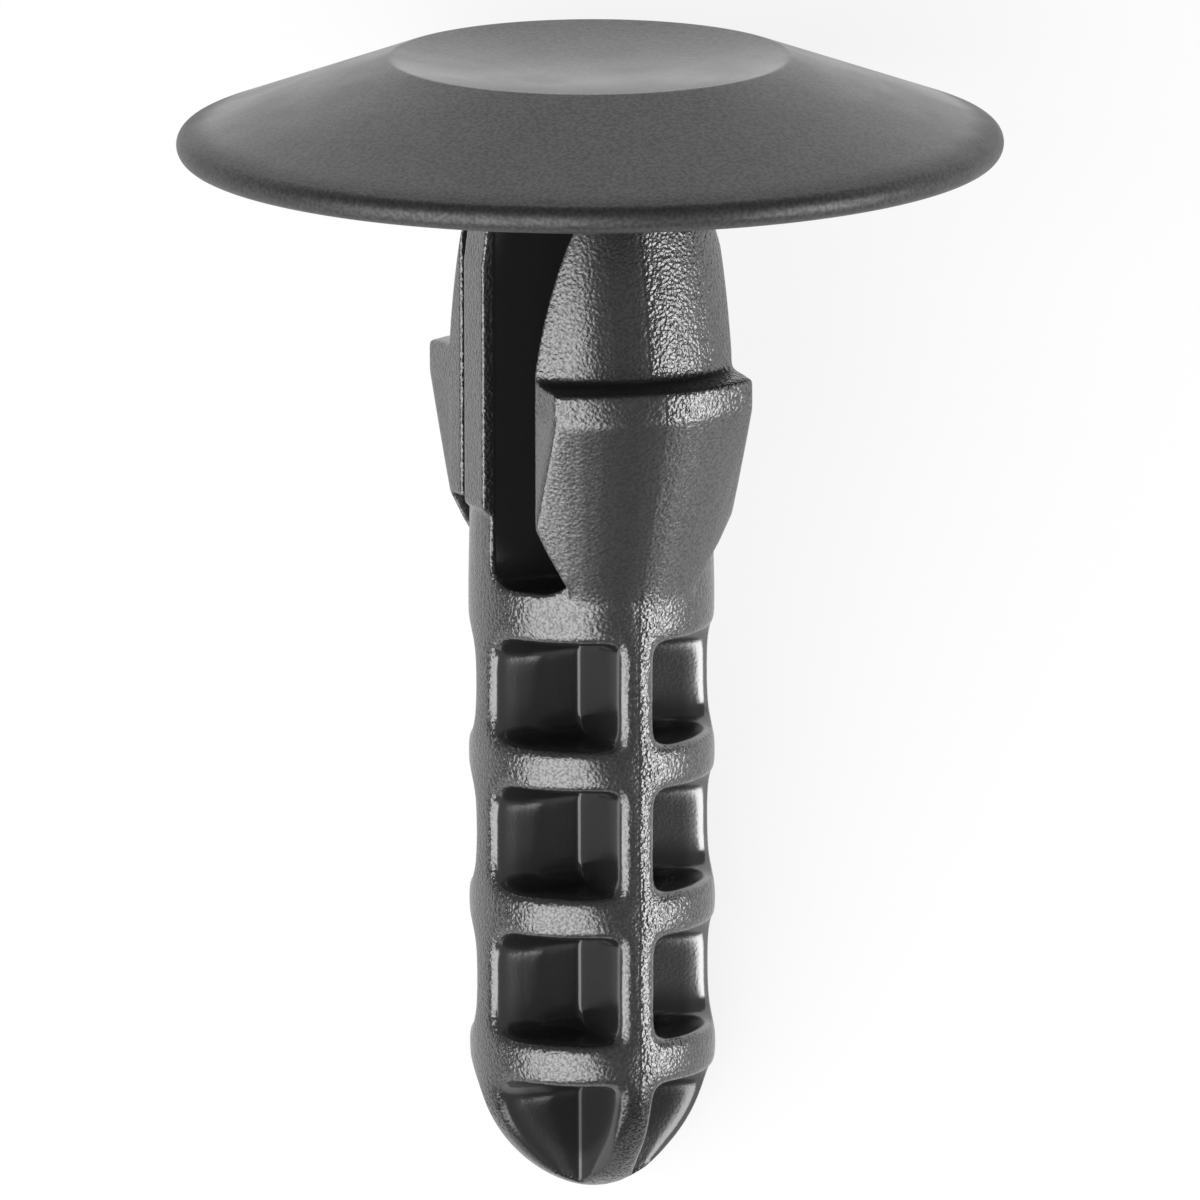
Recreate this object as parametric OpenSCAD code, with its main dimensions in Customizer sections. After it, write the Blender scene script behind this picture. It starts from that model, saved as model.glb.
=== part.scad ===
// Push-in bumper retainer, moulded in one piece.
// A dished conical head sits on the panel. Under it a flat plate runs down the middle of the shank
// between two bowed spring wings with locking barbs, each thicker along one side. Below the wings
// the shank is a cross of two webs, tied by round ribs, and ends in a blunt nose. The retainer lies
// on its side, as it rests.
// Sizes are in millimetres. In the part's own axes Z is the shank, the head is on top and Z = 0 is
// the seat under the rim. X runs along the plate and Y points at the wings.

/* [Head] */
// Diameter of the head
head_d = 25; // [20:0.5:30]
// Height of the dish lip above the seat
head_h = 3.1; // [2.6:0.1:4]
// Diameter of the dish lip, at its crest
lip_d = 12.1; // [9:0.1:14]
// Rounding of the dish lip
lip_r = 0.25; // [0.1:0.05:0.5]
// Depth of the dish in the top of the head
dish_depth = 0.55; // [0.3:0.05:1]
// Rounding of the head's rim
rim_r = 0.45; // [0.3:0.05:0.6]
// Width of the flat seat under the rim
seat_w = 1.2; // [0.6:0.1:2]
// Rise of the hollow underside, from the seat to the neck
hollow_h = 1; // [0.5:0.1:1.4]
// Flare of the neck, from the slots up into the head
neck_flare = 0.35; // [0.2:0.05:0.6]

/* [Plate] */
// Thickness of the middle plate
plate_t = 1.45; // [1.1:0.05:1.9]
// Width of the plate where it locates in the panel hole
plate_w = 7.75; // [7.6:0.05:8]
// Width of the plate under the head
plate_top_w = 7.45; // [6.6:0.05:7.6]
// Distance from the seat down to the start of the plate's full width
plate_start = 3; // [2:0.1:4]
// Distance from the seat down to the end of the plate's full width
plate_end = 10.4; // [9:0.1:11]
// Height of the lead-in above the plate's full width
plate_lead = 1.2; // [0.2:0.1:1.4]
// Step at the foot of the plate's full width, sloped at 45 degrees
plate_step = 0.35; // [0.3:0.05:0.5]
// Draft of the plate's round edge, from the shank up to its full width
plate_draft = 0.06; // [0.03:0.01:0.15]

/* [Wings] */
// Distance from the middle of the plate to the inner face of a wing, on the wing's thin half
wing_in = 3.2; // [2.8:0.05:3.3]
// The same distance on the wing's thick half
thick_in = 2.35; // [2.2:0.05:2.7]
// Width of the wings
wing_w = 6.55; // [5.6:0.05:6.8]
// Radius of the wings' bowed outer face at its crest
wing_r = 4.79; // [4.5:0.01:5.2]
// Radius of the bow along the wing
bow_r = 30; // [24:1:40]
// Distance from the seat down to the crest of the bow
crest_z = 9.2; // [8.6:0.1:9.8]
// Radius of the barbs
barb_r = 5.84; // [5.4:0.02:6.2]
// Distance from the seat down to the barb's shoulder, at its outer edge
shoulder_z = 6.2; // [5.6:0.05:6.8]
// Drop of the sloped shoulder, from the bow out to its edge
shoulder_drop = 0.1; // [0.05:0.05:0.6]
// Height of the barb's upright land
land_h = 0.95; // [0.5:0.05:1.4]
// Distance from the seat down to the top of the slots
slot_top = 1; // [0.6:0.1:1.4]
// Distance from the seat down to the bottom of the slots, behind the wings' thin halves
slot_end = 12.75; // [12:0.05:13.2]
// Distance from the seat down to the bottom of the slots, behind the wings' thick halves
short_end = 10.6; // [10.5:0.05:11.5]
// Corner radius of the slots
slot_r = 0.8; // [0.4:0.1:1]
// Distance from the seat down to the foot of the barb's slope
foot_z = 13.15; // [13:0.05:13.8]

/* [Shank] */
// Diameter of the ribs and bands of the shank
stem_d = 7.46; // [7:0.02:7.6]
// Thickness of the web across the plate, at its outer edges
cross_t = 1.15; // [0.9:0.05:1.3]
// Thickness of that web at its root, where it meets the plate
cross_root_t = 1.4; // [1.3:0.05:1.8]
// Distance from the seat down to the first row of pockets
row_z = 14.4; // [14:0.1:15]
// Rows of pockets above the nose
rows = 3; // [2:1:4]
// Height of a pocket
pocket_h = 3.12; // [2.6:0.02:3.6]
// Thickness of a rib
rib_t = 1.42; // [1:0.02:1.8]
// Corner radius of the pockets where the plate meets a rib
pocket_r = 0.75; // [0.2:0.05:0.9]
// Waist of the webs' outer edges between ribs
waist = 0.07; // [0.04:0.01:0.15]

/* [Nose] */
// Length of the rounded nose
nose_l = 4.35; // [4:0.05:6]
// Radius of the nose's tip
tip_r = 2.45; // [2:0.05:2.8]

/* [Lie] */
// Turn of the retainer about its own axis, as it lies
roll = 31; // [28:1:62]

/* [Hidden] */
$fn = 96;
// Overlap that joins two shapes, and length that clears any part of the shank
join = 0.5;
clear = 20;

// Head: centres of the rim and lip roundings, and the straight slope that touches both
rim_c = head_d / 2 - rim_r;
lip_c = lip_d / 2;
lip_z = head_h - lip_r;
cone_run = norm([rim_c - lip_c, lip_z - rim_r]);
cone_a = atan2(lip_z - rim_r, rim_c - lip_c) - asin((rim_r - lip_r) / cone_run);
rim_touch = [rim_c + rim_r * sin(cone_a), rim_r + rim_r * cos(cone_a)];
lip_touch = [lip_c + lip_r * sin(cone_a), lip_z + lip_r * cos(cone_a)];
// Dish: one sphere that touches the lip's rounding
dish_q = lip_r - dish_depth;
dish_r = (lip_c * lip_c + dish_q * dish_q - lip_r * lip_r) / (2 * dish_depth);
dish_z = head_h - dish_depth + dish_r;
dish_edge = lip_c * dish_r / (dish_r + lip_r);

// Wings: levels of the barb and radius of the bow where it meets the neck
land_end = shoulder_z + land_h;
neck_r = wing_r - bow_r + sqrt(bow_r * bow_r - pow(crest_z - slot_top, 2));
stem_r = stem_d / 2;
// Wings: lean of the barb's long slope and of its shoulder, as a rise for each millimetre
slope = (barb_r - stem_r) / (foot_z - land_end);
shoulder_slope = shoulder_drop / (barb_r - wing_r);
shoulder_in = barb_r - thick_in + join;
// Slots: corner radius that also fits behind the wings' thick halves
short_r = min(slot_r, (thick_in - plate_t / 2) / 2 - 0.05);

// Plate: one side of its outline, from the head down
plate_side = [
  [plate_top_w / 2, hollow_h + join],
  [plate_top_w / 2, plate_lead - plate_start],
  [plate_w / 2, -plate_start],
  [plate_w / 2, -plate_end],
  [plate_w / 2 - plate_step, -plate_end - plate_step]
];
plate_back = [for (i = [len(plate_side) - 1:-1:0]) [-plate_side[i][0], plate_side[i][1]]];

// Shank: pitch of the rows, foot of the lowest rib and the circle that waists each row
pitch = pocket_h + rib_t;
last_z = row_z + rows * pitch;
waist_r = (pow(pocket_h / 2, 2) + waist * waist) / (2 * waist);
// Shank: draft of one side of the web across the plate, for each millimetre
cross_draft = (cross_root_t - cross_t) / (stem_d - plate_t);

// Nose: a long side arc that runs off the shank and a tip arc that touches it
nose_z = row_z + rows * pitch - rib_t / 2;
nose_b = nose_l - tip_r;
side_r = (nose_b * nose_b + stem_r * stem_r - tip_r * tip_r) / (2 * (stem_r - tip_r));
tip_z = nose_z + nose_b;
touch_z = nose_z + nose_b * side_r / (side_r - tip_r);

// Lie: the rim and the foot of the lowest rib touch the ground
rest_r = stem_r - side_r + sqrt(side_r * side_r - pow(last_z - nose_z, 2));
rest_run = norm([rim_c - rest_r, rim_r + last_z]);
tilt = atan2(rim_c - rest_r, rim_r + last_z) + asin(rim_r / rest_run);
lie_z = rest_r * cos(tilt) + last_z * sin(tilt);
lie_front = lip_c * sin(tilt) + lip_z * cos(tilt) + lip_r;
lie_back = tip_z * cos(tilt) + tip_r;

// Region of a profile between two levels
module level(from, to, r = clear) {
  translate([0, from]) square([r, to - from]);
}

// Half profile of the head
module head_profile() {
  difference() {
    union() {
      difference() {
        square([dish_edge, head_h]);
        translate([0, dish_z]) circle(dish_r, $fn = 360);
      }
      intersection() {
        translate([lip_c, lip_z]) circle(lip_r);
        translate([dish_edge, 0]) square([lip_touch[0] - dish_edge, head_h + join]);
      }
      translate([dish_edge, 0]) square([lip_touch[0] - dish_edge, lip_z]);
      polygon([[lip_touch[0], 0], lip_touch, rim_touch, [rim_c, rim_r], [rim_c, 0]]);
      translate([rim_c, rim_r]) intersection() {
        circle(rim_r);
        polygon(2 * rim_r * [[0, 0], [sin(cone_a), cos(cone_a)], [2, 1], [2, -1], [0, -1]]);
      }
    }
    polygon([[0, -join], [rim_c - seat_w, -join], [rim_c - seat_w, 0], [neck_r, hollow_h], [0, hollow_h]]);
  }
}

// Slab along X of the plate's thickness, around an outline in X and Z
module slab(t) {
  rotate([90, 0, 0]) linear_extrude(t, center = true) children();
}

// Prism pulled along X from a profile in Y and Z
module prism(l) {
  rotate([90, 0, 90]) linear_extrude(l) children();
}

// Rectangle with round corners, from its lower corner
module round_rect(w, h, r) {
  translate([r, 0]) square([w - 2 * r, h]);
  translate([0, r]) square([w, h - 2 * r]);
  for (x = [r, w - r], y = [r, h - r]) translate([x, y]) circle(r);
}

// One end of a slot beside the plate, open along +X
module slot_cut(inner, end, r) {
  translate([-join, plate_t / 2, -end]) prism(clear) round_rect(inner - plate_t / 2, end - slot_top, r);
}

// Two slots beside the plate, right through along X. Each is wide and deep at one end only
module slots() {
  for (a = [0, 180]) rotate(a) {
    intersection() {
      slot_cut(wing_in, slot_end, slot_r);
      translate([0, 0, -clear]) cube([clear, clear, clear]);
    }
    mirror([1, 0, 0]) slot_cut(thick_in, short_end, short_r);
  }
}

// Middle plate, with flat ends where it locates in the hole
module plate() {
  slab(plate_t) polygon(concat(plate_side, plate_back));
}

// Outline that a wing stays inside, with the barb's land and long slope
module wing_limit() {
  rotate_extrude() polygon([
    [0, join - slot_top],
    [barb_r, join - slot_top],
    [barb_r, -land_end],
    [stem_r - join * slope, -foot_z - join],
    [0, -foot_z - join]
  ]);
}

// Bowed wing with its barb, on the side of +Y. Its half on the side of -X is thicker
module wing() {
  intersection() {
    wing_limit();
    rotate_extrude() {
      intersection() {
        translate([wing_r - bow_r, -crest_z]) circle(bow_r, $fn = 720);
        level(-foot_z - join, join - slot_top);
      }
      polygon([
        [thick_in - join, shoulder_in * shoulder_slope - shoulder_z],
        [barb_r + join, -join * shoulder_slope - shoulder_z],
        [barb_r + join, -foot_z - join],
        [thick_in - join, -foot_z - join]
      ]);
    }
    union() {
      translate([-wing_w / 2, wing_in, -clear]) cube([wing_w, clear, 2 * clear]);
      translate([-wing_w / 2, thick_in, -short_end]) cube([wing_w / 2, clear, short_end]);
    }
  }
}

// Half profile of the shank below the plate's flat ends, waisted between the ribs
module shank_profile() {
  difference() {
    polygon([
      [0, -nose_z],
      [stem_r, -nose_z],
      [stem_r, -foot_z],
      [stem_r - plate_draft, -plate_end],
      [0, -plate_end]
    ]);
    for (i = [0:rows - 1])
      translate([stem_r - waist + waist_r, -row_z - i * pitch - pocket_h / 2]) circle(waist_r, $fn = 360);
  }
  intersection() {
    translate([stem_r - side_r, -nose_z]) circle(side_r, $fn = 180);
    level(-touch_z, join - nose_z);
  }
  intersection() {
    translate([0, -tip_z]) circle(tip_r);
    level(-tip_z - tip_r - join, join / 2 - touch_z);
  }
}

// Quarter of the plane between the plate and the drafted web across it
module quarter() {
  polygon([
    [cross_root_t / 2 + plate_t / 2 * cross_draft, 0],
    [clear, 0],
    [clear, stem_d],
    [cross_root_t / 2 + (plate_t / 2 - stem_d) * cross_draft, stem_d]
  ]);
}

// One pocket in one quarter of the shank, from a level down
module pocket(z, h) {
  translate([0, 0, -z - h]) intersection() {
    translate([0, plate_t / 2, 0]) prism(clear) round_rect(clear, h, pocket_r);
    translate([0, 0, -join]) linear_extrude(h + 2 * join) quarter();
  }
}

// Cross-shaped shank with its pockets, ribs and nose
module shank() {
  difference() {
    rotate_extrude() shank_profile();
    slots();
    for (x = [0, 1], y = [0, 1]) mirror([x, 0, 0]) mirror([0, y, 0]) {
      for (i = [0:rows - 1]) pocket(row_z + i * pitch, pocket_h);
      pocket(last_z, clear);
    }
  }
}

// Flared neck that ties the plate and the wings to the head
module neck() {
  difference() {
    translate([0, 0, -slot_top - slot_r])
      cylinder(r1 = neck_r, r2 = neck_r + neck_flare, h = slot_top + slot_r + hollow_h + join);
    slots();
  }
}

// The whole retainer, upright on its own axes
module upright() {
  rotate_extrude() head_profile();
  neck();
  plate();
  for (a = [0, 180]) rotate(a) wing();
  shank();
}

// One moulding, laid on its rim and its lowest rib
module retainer() {
  color([0.16, 0.16, 0.17])
    translate([0, (lie_back - lie_front) / 2, lie_z])
      rotate([tilt - 90, 0, 0])
        rotate([0, 0, roll])
          upright();
}

retainer();
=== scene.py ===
"""Looks of a moulded push-in retainer that lies on its rim and its lowest rib."""

import math

import bpy
from mathutils import Matrix, Vector


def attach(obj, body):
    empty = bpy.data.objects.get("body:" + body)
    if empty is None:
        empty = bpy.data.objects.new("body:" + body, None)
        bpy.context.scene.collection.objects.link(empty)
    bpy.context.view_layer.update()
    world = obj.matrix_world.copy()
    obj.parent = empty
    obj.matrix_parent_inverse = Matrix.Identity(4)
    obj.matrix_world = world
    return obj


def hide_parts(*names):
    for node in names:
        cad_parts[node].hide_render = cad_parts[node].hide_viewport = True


MM = 0.001

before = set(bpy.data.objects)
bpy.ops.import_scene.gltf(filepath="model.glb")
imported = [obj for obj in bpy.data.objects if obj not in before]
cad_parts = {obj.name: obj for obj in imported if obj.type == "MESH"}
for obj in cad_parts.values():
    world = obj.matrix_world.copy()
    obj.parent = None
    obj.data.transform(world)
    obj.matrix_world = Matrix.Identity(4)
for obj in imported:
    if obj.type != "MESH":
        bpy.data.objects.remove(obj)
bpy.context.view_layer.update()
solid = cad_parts["retainer"]

# How the part lies: lean of its axis, turn about it, and the middle of the seat under the rim
LEAN = math.radians(17.263621)
TURN = math.radians(31.0)
SEAT = Vector((0.0, 12.7885, 11.8236)) * MM
# From the part's own axes, with Z along the shank and X along the plate, to the way it lies
LIE = (
    Matrix.Translation(SEAT)
    @ Matrix.Rotation(LEAN - math.pi / 2, 4, "X")
    @ Matrix.Rotation(TURN, 4, "Z")
)

# Head sizes in millimetres, as in the solid
HEAD_R, HEAD_H = 12.5, 3.1
LIP_R, LIP_ROUND, DISH = 6.05, 0.25, 0.55
RIM_ROUND, SEAT_W, HOLLOW = 0.45, 1.2, 1.0
NECK_R, NECK_TOP_R = 3.83, 3.92
# Bevels where the hollow meets the seat and the neck, as width and height
SEAT_BEVEL, NECK_BEVEL = (0.05, 0.01), (0.15, 0.1)
# Height on the neck at which the head's skin ends
HEAD_END = 0.2
# Steps of the head's skin along each part of its profile, and round it
DISH_STEPS, LIP_STEPS, CONE_STEPS, RIM_STEPS, HEAD_STEPS = 24, 12, 24, 20, 288

# Mesh of the shank: voxel, then rounds of smoothing for all of it, its low outside and the barbs
VOXEL = 0.055 * MM
ALL_ROUNDS, LOW_ROUNDS, BARB_ROUNDS = 14, 220, 30
MOST_TRIANGLES = 190000
# Where smoothing starts: below the wings, outside the middle of the pockets, and on the barbs
LOW_Z, LOW_R, LOW_R_RUN = -12.5 * MM, 1.6 * MM, 0.8 * MM
BARB_Z, BARB_Z_RUN, BARB_Y, BARB_Y_RUN = -5.6 * MM, 0.4 * MM, 2.9 * MM, 0.5 * MM
# The shank's mesh ends inside the head: height at the neck, height further out, and the neck's reach
NECK_END, UNDER_HEAD, NECK_REACH = 0.55 * MM, -0.15 * MM, 4.6 * MM

# Camera, seen in the part's own axes: turn about the shank, height and tip, then what it looks at
CAMERA_TURN = math.radians(-23.2542)
CAMERA_LIFT = math.radians(11.35)
CAMERA_TIP = math.radians(-0.16587)
AIM_RIGHT, AIM_UP = 0.2604, -13.6288
DISTANCE = 1.7137
LENS = 1700.0

PLASTIC = (0.014, 0.014, 0.015, 1.0)
WHITE = (1.0, 1.0, 1.0, 1.0)
FLOOR_PAINT = (0.9, 0.9, 0.9, 1.0)
# Share of plain white in the floor that the camera sees, half the floor's side, and the world's glow
FLOOR_WHITE, FLOOR_HALF, WORLD_GLOW = 0.85, 1.5, 0.2

# Bands over which the skins change, in millimetres: from the axis, ...
DISH_EDGE, RIM_EDGE = (5.8, 6.2), (11.3, 12.2)
POCKET_MOUTH, OUTER_SKIN = (2.7, 3.2), (3.5, 3.62)
# ... across the seam of the mould halves and the flank along X, out to the wings along Y, ...
SEAM, FLANK, WING_SKIN = (-0.05, 0.05), (-3.3, -2.2), (3.0, 3.3)
# ... and along Z on the barbs' slopes and the nose
SLOPE_FOOT, SLOPE_TOP, NOSE_TOP = (-13.2, -12.4), (-7.3, -7.0), (-28.8, -27.5)
# Where the nose starts below the seat, and how much steeper than round it is
NOSE_Z, NOSE_RATIO = 27.35, 0.857

# Scales of the noises, and heights of the grain
CLOUD, FINE, SPARK, PIT = 500.0, 9000.0, 9500.0, 13000.0
FINE_HEIGHT, SPARK_HEIGHT = 0.003 * MM, 0.032 * MM
# Share of the grain's height on the smooth mould half, the rough half and the flank
SMOOTH_HALF, ROUGH_HALF, ROUGH_FLANK = 0.42, 1.25, 1.0
# Part of the grain that the barbs' slopes lose, and the part that is left in the pockets
SLOPE_LOSS, POCKET_GRAIN = 0.74, 0.08


def camera_axes():
    """Right, up and back of the picture, and the point it looks at, as the part lies."""
    across = Vector((math.cos(CAMERA_TURN), math.sin(CAMERA_TURN), 0.0))
    out = Vector((math.sin(CAMERA_TURN), -math.cos(CAMERA_TURN), 0.0))
    back = out * math.cos(CAMERA_LIFT) + Vector((0.0, 0.0, math.sin(CAMERA_LIFT)))
    right = across * math.cos(CAMERA_TIP) + back.cross(across) * math.sin(CAMERA_TIP)
    spin = LIE.to_3x3()
    aim = across * AIM_RIGHT * MM + Vector((0.0, 0.0, AIM_UP * MM))
    return spin @ right, spin @ back.cross(right), spin @ back, LIE @ aim


RIGHT, UP, BACK, TARGET = camera_axes()


def axes(x, y, z, place):
    """Matrix with the given axes at a place."""
    m = Matrix((x.normalized(), y.normalized(), z.normalized())).transposed().to_4x4()
    m.translation = place
    return m


def link(obj):
    """The object, put in the scene."""
    bpy.context.scene.collection.objects.link(obj)
    return obj


def make_camera():
    data = bpy.data.cameras.new("camera")
    data.sensor_width = 36.0
    data.lens = LENS
    data.clip_start = 0.1
    data.clip_end = 20.0
    cam = link(bpy.data.objects.new("camera", data))
    cam.matrix_world = axes(RIGHT, UP, BACK, TARGET + BACK * DISTANCE)
    bpy.context.scene.camera = cam


# ---- shapes, each in the part's own axes and then laid down ----


def lay(name, mesh):
    """Piece with smooth shading, laid down as the part lies."""
    mesh.polygons.foreach_set("use_smooth", [True] * len(mesh.polygons))
    mesh.materials.clear()
    mesh.transform(LIE)
    mesh.update()
    return link(bpy.data.objects.new(name, mesh))


def arc(cx, cz, r, start, end, steps):
    """Points on an arc, from one angle to another in degrees."""
    found = []
    for i in range(steps + 1):
        a = math.radians(start + (end - start) * i / steps)
        found.append((cx + r * math.cos(a), cz + r * math.sin(a)))
    return found


def head_profile():
    """Radius and height of the head's skin, from the middle of the dish round to the neck."""
    rim_c, lip_z = HEAD_R - RIM_ROUND, HEAD_H - LIP_ROUND
    run = math.hypot(rim_c - LIP_R, lip_z - RIM_ROUND)
    lean = math.atan2(lip_z - RIM_ROUND, rim_c - LIP_R) - math.asin((RIM_ROUND - LIP_ROUND) / run)
    lean = math.degrees(lean)
    q = LIP_ROUND - DISH
    ball = (LIP_R**2 + q**2 - LIP_ROUND**2) / (2 * DISH)
    edge = math.degrees(math.asin(LIP_R / (ball + LIP_ROUND)))
    points = arc(0, HEAD_H - DISH + ball, ball, -90, edge - 90, DISH_STEPS)
    points += arc(LIP_R, lip_z, LIP_ROUND, 90 + edge, 90 - lean, LIP_STEPS)[1:]
    top, low = points[-1], arc(rim_c, RIM_ROUND, RIM_ROUND, 90 - lean, -90, RIM_STEPS)
    for i in range(1, CONE_STEPS):
        t = i / CONE_STEPS
        points.append((top[0] + (low[0][0] - top[0]) * t, top[1] + (low[0][1] - top[1]) * t))
    points += low
    points.append((rim_c - SEAT_W, 0))
    points.append((rim_c - SEAT_W - SEAT_BEVEL[0], SEAT_BEVEL[1]))
    points.append((NECK_TOP_R + NECK_BEVEL[0], HOLLOW))
    points.append((NECK_TOP_R, HOLLOW - NECK_BEVEL[1]))
    points.append((NECK_R, HEAD_END))
    return points


def make_head(steps=HEAD_STEPS):
    """Dished head, turned about the part's own axis, down to the top of the neck."""
    rings = head_profile()[1:]
    verts, faces = [(0.0, 0.0, (HEAD_H - DISH) * MM)], []
    for r, z in rings:
        for i in range(steps):
            a = 2 * math.pi * i / steps
            verts.append((r * math.cos(a) * MM, r * math.sin(a) * MM, z * MM))
    for i in range(steps):
        j = (i + 1) % steps
        faces.append((0, 1 + i, 1 + j))
        for k in range(len(rings) - 1):
            a, b = 1 + k * steps, 1 + (k + 1) * steps
            faces.append((a + i, b + i, b + j, a + j))
    mesh = bpy.data.meshes.new("head")
    mesh.from_pydata(verts, [], faces)
    return lay("head", mesh)


def applied(mesh, kind, share=None, **settings):
    """Mesh with one modifier applied to it, in full or by the share of it at each point."""
    obj = link(bpy.data.objects.new("work", mesh))
    step = obj.modifiers.new("step", kind)
    if share:
        group = obj.vertex_groups.new(name="share")
        for v in mesh.vertices:
            group.add([v.index], share(v.co), "REPLACE")
        step.vertex_group = group.name
    for name, value in settings.items():
        setattr(step, name, value)
    bpy.context.view_layer.update()
    seen = obj.evaluated_get(bpy.context.evaluated_depsgraph_get())
    done = bpy.data.meshes.new_from_object(seen)
    bpy.data.objects.remove(obj)
    return done


def part(over, run):
    """0 to 1 as a value goes over its start by a run."""
    return min(1.0, max(0.0, over / run))


def low_share(p):
    """1 on the outside of the shank below the wings, 0 above it and deep in the pockets."""
    return part(LOW_Z - p.z, MM) * part(math.hypot(p.x, p.y) - LOW_R, LOW_R_RUN)


def barb_share(p):
    """1 on the barbs and, below them, on the outside along Y; 0 elsewhere."""
    return part(abs(p.y) - BARB_Y, BARB_Y_RUN) * part(BARB_Z - p.z, BARB_Z_RUN)


def make_shank():
    """Neck, plate, wings and shank with the small roundings of a moulding, from the solid."""
    mesh = solid.data.copy()
    mesh.transform(LIE.inverted() @ solid.matrix_world)
    mesh = applied(mesh, "WELD", merge_threshold=0.001 * MM)
    mesh = applied(mesh, "REMESH", mode="VOXEL", voxel_size=VOXEL)
    mesh = applied(mesh, "SMOOTH", factor=0.5, iterations=ALL_ROUNDS)
    mesh = applied(mesh, "SMOOTH", low_share, factor=0.5, iterations=LOW_ROUNDS)
    mesh = applied(mesh, "SMOOTH", barb_share, factor=0.5, iterations=BARB_ROUNDS)
    mesh = without_head(mesh)
    ratio = MOST_TRIANGLES / (2 * len(mesh.polygons))
    mesh = applied(mesh, "DECIMATE", ratio=min(1.0, ratio))
    return lay("shank", mesh)


def without_head(mesh):
    """The mesh below the head, with the neck left long enough to end inside it."""
    keep = []
    for v in mesh.vertices:
        near = math.hypot(v.co.x, v.co.y) < NECK_REACH
        keep.append(v.co.z < NECK_END and (v.co.z < UNDER_HEAD or near))
    index, verts, faces = {}, [], []
    for p in mesh.polygons:
        if all(keep[i] for i in p.vertices):
            for i in p.vertices:
                if i not in index:
                    index[i] = len(verts)
                    verts.append(tuple(mesh.vertices[i].co))
            faces.append([index[i] for i in p.vertices])
    cut = bpy.data.meshes.new("shank")
    cut.from_pydata(verts, [], faces)
    return cut


# ---- materials ----


class Nodes:
    """Node tree of a new material, with short ways to add to it."""

    def __init__(self, name):
        self.material = bpy.data.materials.new(name)
        self.material.use_nodes = True
        self.tree = self.material.node_tree
        self.tree.nodes.clear()

    def add(self, kind, inputs=None, **settings):
        """New node. Inputs are sockets or plain values, by name or number."""
        node = self.tree.nodes.new("ShaderNode" + kind)
        for name, value in settings.items():
            setattr(node, name, value)
        for name, value in (inputs or {}).items():
            if isinstance(value, bpy.types.NodeSocket):
                self.tree.links.new(value, node.inputs[name])
            else:
                node.inputs[name].default_value = value
        return node

    def math(self, operation, *values):
        return self.add("Math", dict(enumerate(values)), operation=operation).outputs[0]

    def times(self, first, *others):
        """Product of the values."""
        for value in others:
            first = self.math("MULTIPLY", first, value)
        return first

    def span(self, value, low, high, start=0.0, end=1.0):
        """Smooth change from start to end as a value goes from low to high."""
        inputs = {"Value": value, "From Min": low, "From Max": high, "To Min": start, "To Max": end}
        return self.add("MapRange", inputs, interpolation_type="SMOOTHSTEP").outputs["Result"]

    def over(self, value, band, start=0.0, end=1.0):
        """Smooth change from start to end over a band in millimetres."""
        return self.span(value, band[0] * MM, band[1] * MM, start, end)

    def noise(self, place, scale, detail):
        inputs = {"Vector": place, "Scale": scale, "Detail": detail, "Roughness": 0.5}
        return self.add("TexNoise", inputs).outputs[0]

    def bump(self, height, distance):
        inputs = {"Strength": 1.0, "Distance": distance, "Height": height}
        return self.add("Bump", inputs).outputs["Normal"]

    def own_place(self):
        """Place in the part's own axes, whole and as X, Y and Z."""
        lying = self.add("TexCoord").outputs["Object"]
        turn = {"Vector": lying, "Location": LIE.translation, "Rotation": LIE.to_euler()}
        place = self.add("Mapping", turn, vector_type="TEXTURE").outputs[0]
        return place, *self.add("SeparateXYZ", {"Vector": place}).outputs

    def length(self, x, y, z):
        vector = self.add("CombineXYZ", {"X": x, "Y": y, "Z": z}).outputs["Vector"]
        return self.add("VectorMath", {0: vector}, operation="LENGTH").outputs["Value"]

    def end(self, shader):
        self.add("OutputMaterial", {"Surface": shader})
        return self.material


def make_satin():
    """Smooth satin skin of the head, with a fine grain and a little uneven in its shine."""
    n = Nodes("satin_plastic")
    place, x, y, _ = n.own_place()
    radius = n.length(x, y, 0.0)
    # The dish is shinier than the cone, and the rim is duller
    dish = n.over(radius, DISH_EDGE, -0.08, 0.0)
    rim = n.over(radius, RIM_EDGE, 0.0, 0.16)
    uneven = n.span(n.noise(place, CLOUD, 4.0), 0.3, 0.7, 0.26, 0.32)
    fine = n.noise(place, FINE, 0.5)
    skin = n.add("BsdfPrincipled", {
        "Base Color": PLASTIC,
        "IOR": 1.55,
        "Specular IOR Level": n.span(fine, 0.3, 0.7, 0.42, 0.72),
        "Roughness": n.math("ADD", uneven, n.math("ADD", dish, rim)),
        "Normal": n.bump(fine, FINE_HEIGHT),
    })
    return n.end(skin.outputs["BSDF"])


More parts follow.
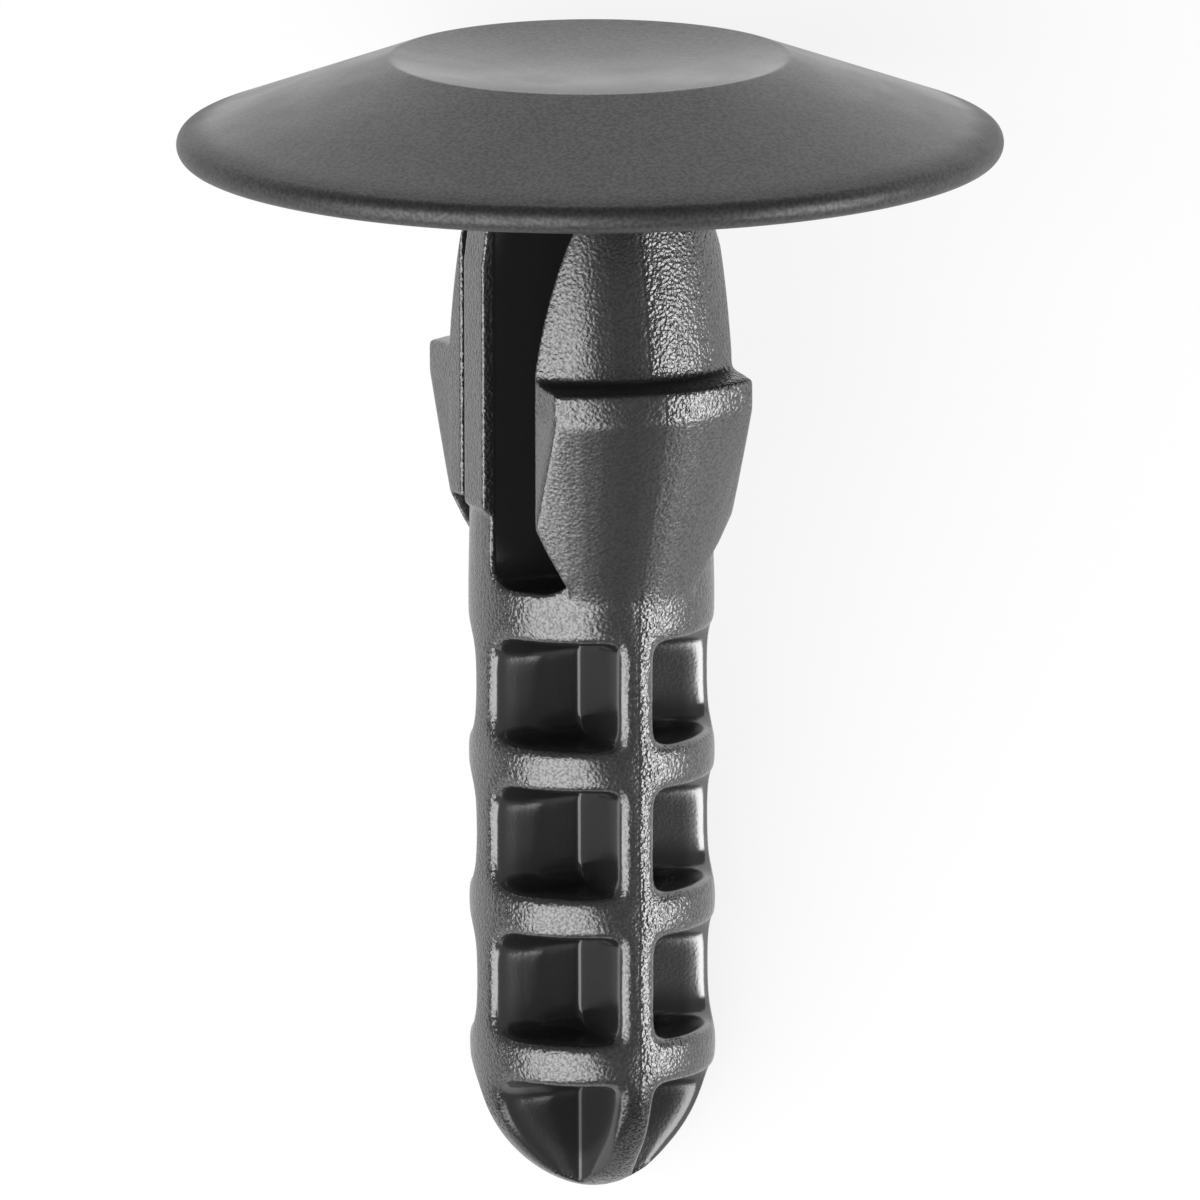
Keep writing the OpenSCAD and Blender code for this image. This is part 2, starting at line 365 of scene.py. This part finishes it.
def make_grained():
    """Skin of the shank: spark-textured outside, more on one mould half, smooth in the pockets."""
    n = Nodes("grained_plastic")
    place, x, y, z = n.own_place()
    # Radius, stretched over the nose so that it stays the same along its skin
    down = n.times(n.math("MINIMUM", n.math("ADD", z, NOSE_Z * MM), 0.0), NOSE_RATIO)
    radius = n.length(x, y, down)
    outside = n.over(radius, OUTER_SKIN)
    half = n.over(x, SEAM, SMOOTH_HALF, ROUGH_HALF)
    half = n.math("MAXIMUM", half, n.over(x, FLANK, ROUGH_FLANK, SMOOTH_HALF))
    # The barbs' slopes are calmer than the rest
    on_wing = n.over(n.math("ABSOLUTE", y), WING_SKIN)
    slope = n.times(n.over(z, SLOPE_FOOT), n.over(z, SLOPE_TOP, 1.0, 0.0), on_wing)
    calm = n.math("SUBTRACT", 1.0, n.times(slope, SLOPE_LOSS))
    depth = n.times(outside, half, calm)
    depth = n.math("MULTIPLY_ADD", depth, 1.0 - POCKET_GRAIN, POCKET_GRAIN)
    grain = n.times(n.noise(place, SPARK, 0.7), depth)
    # The pockets and the nose shine less, and so do small pits in the outer skin
    shine = n.over(radius, POCKET_MOUTH, 0.45, 1.0)
    shine = n.times(shine, n.over(z, NOSE_TOP, 0.48, 1.0))
    pits = n.times(n.span(n.noise(place, PIT, 1.0), 0.3, 0.65, 0.48, 0.0), outside)
    skin = n.add("BsdfPrincipled", {
        "Base Color": PLASTIC,
        "IOR": 1.7,
        "Specular IOR Level": n.math("SUBTRACT", shine, pits),
        "Roughness": n.span(outside, 0.0, 1.0, 0.19, 0.24),
        "Normal": n.bump(grain, SPARK_HEIGHT),
    })
    return n.end(skin.outputs["BSDF"])


def make_floor():
    """White floor. The camera sees it lit, with the shadow; reflections see plain white."""
    n = Nodes("floor")
    white = n.add("Emission", {"Color": WHITE, "Strength": 1.0}).outputs[0]
    paint = n.add("BsdfDiffuse", {"Color": FLOOR_PAINT}).outputs[0]
    path = n.add("LightPath").outputs
    mirror = n.math("MAXIMUM", path["Is Glossy Ray"], path["Is Transmission Ray"])
    share = n.math("MAXIMUM", mirror, n.times(path["Is Camera Ray"], FLOOR_WHITE))
    mix = n.add("MixShader", {0: share, 1: paint, 2: white})
    mesh = bpy.data.meshes.new("floor")
    s = FLOOR_HALF
    mesh.from_pydata([(-s, -s, 0), (s, -s, 0), (s, s, 0), (-s, s, 0)], [], [(0, 1, 2, 3)])
    mesh.materials.append(n.end(mix.outputs[0]))
    link(bpy.data.objects.new("floor", mesh))


# ---- light ----


def make_world():
    world = bpy.data.worlds.new("studio")
    world.use_nodes = True
    ground = world.node_tree.nodes["Background"]
    ground.inputs["Color"].default_value = WHITE
    ground.inputs["Strength"].default_value = WORLD_GLOW
    bpy.context.scene.world = world


def softbox(name, side, lift, wide, tall, glow, distance=0.4):
    """Soft box round the shank, a distance away.

    side and lift are degrees right of the camera's own place and above it, and wide and tall are
    the degrees that the box takes up as seen from the part.
    """
    a, e = math.radians(side), math.radians(lift)
    away = (BACK * math.cos(a) + RIGHT * math.sin(a)) * math.cos(e) + UP * math.sin(e)
    light = bpy.data.lights.new(name, "AREA")
    light.shape = "RECTANGLE"
    light.size = 2 * distance * math.tan(math.radians(wide / 2))
    light.size_y = 2 * distance * math.tan(math.radians(tall / 2))
    light.energy = glow * math.pi * light.size * light.size_y
    lamp = link(bpy.data.objects.new(name, light))
    x = UP.cross(away).normalized()
    lamp.matrix_world = axes(x, away.cross(x), away, TARGET + away * distance)


make_camera()
make_floor()
make_world()
softbox("softbox_right", side=70, lift=-16, wide=25, tall=44, glow=6.8)
softbox("softbox_left", side=-37, lift=-26, wide=70, tall=64, glow=3.5)

head = make_head()
shank = make_shank()
head.data.materials.append(make_satin())
shank.data.materials.append(make_grained())
for piece in (head, shank):
    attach(piece, "root")
    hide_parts("retainer")

bpy.context.scene.view_settings.view_transform = "Standard"
